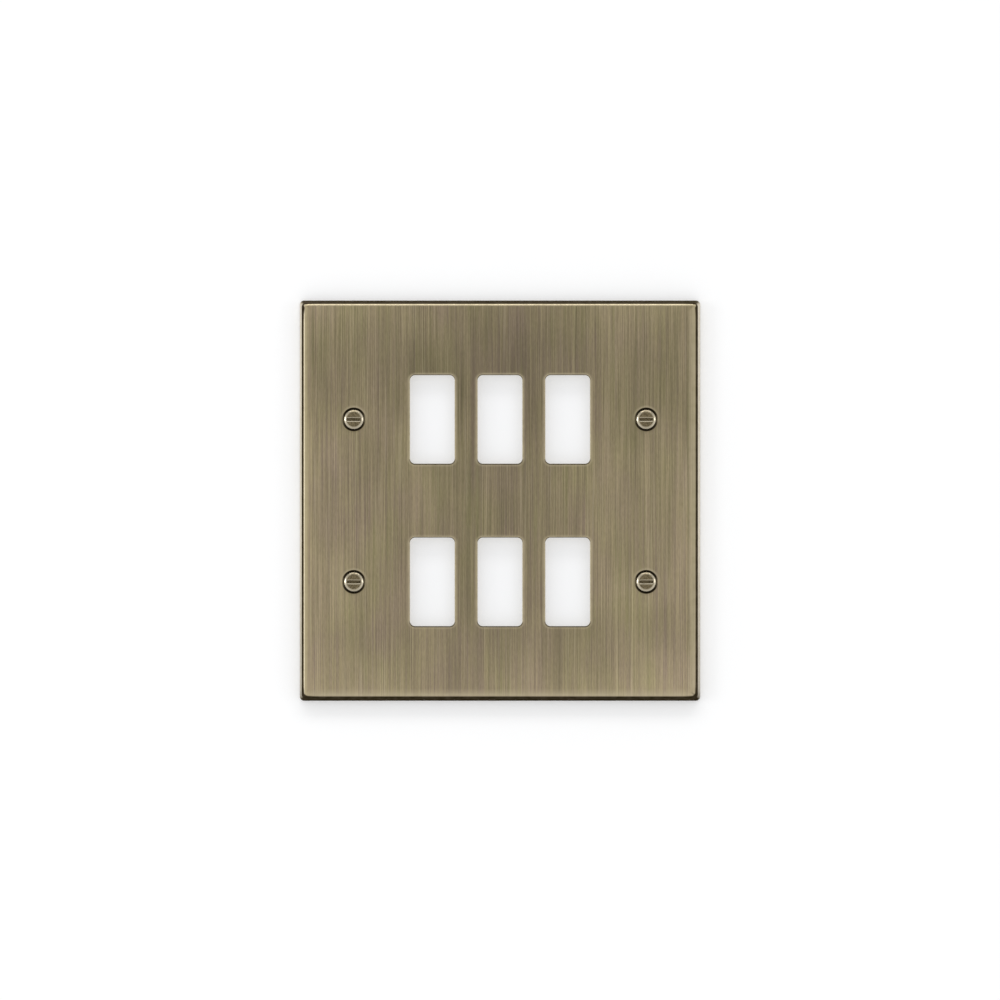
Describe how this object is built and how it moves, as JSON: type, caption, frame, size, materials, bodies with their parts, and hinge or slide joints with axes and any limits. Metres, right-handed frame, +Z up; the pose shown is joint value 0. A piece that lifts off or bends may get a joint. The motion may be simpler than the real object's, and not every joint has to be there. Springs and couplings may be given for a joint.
{
  "type": "grid switch plate",
  "caption": "Square pressed-metal front plate with round-cornered windows for grid switch modules, a flared skirt and slotted screws seated in formed countersinks.",
  "frame": {"origin": "centre of the plate on the wall plane, level with the back of its rim", "axes": "+X to the right seen from the room, +Y from the room into the wall, +Z up"},
  "size_m": [0.148, 0.0168, 0.148],
  "materials": {
    "brushed_plate": "vertically brushed antique brass with a dark skirt and bright rubbed edges",
    "screw_metal": "turned and plated antique brass with a bright sloping rim"
  },
  "bodies": {
    "root": {"front_plate": "brushed_plate", "fixing_screws": "screw_metal"}
  },
  "joints": []
}
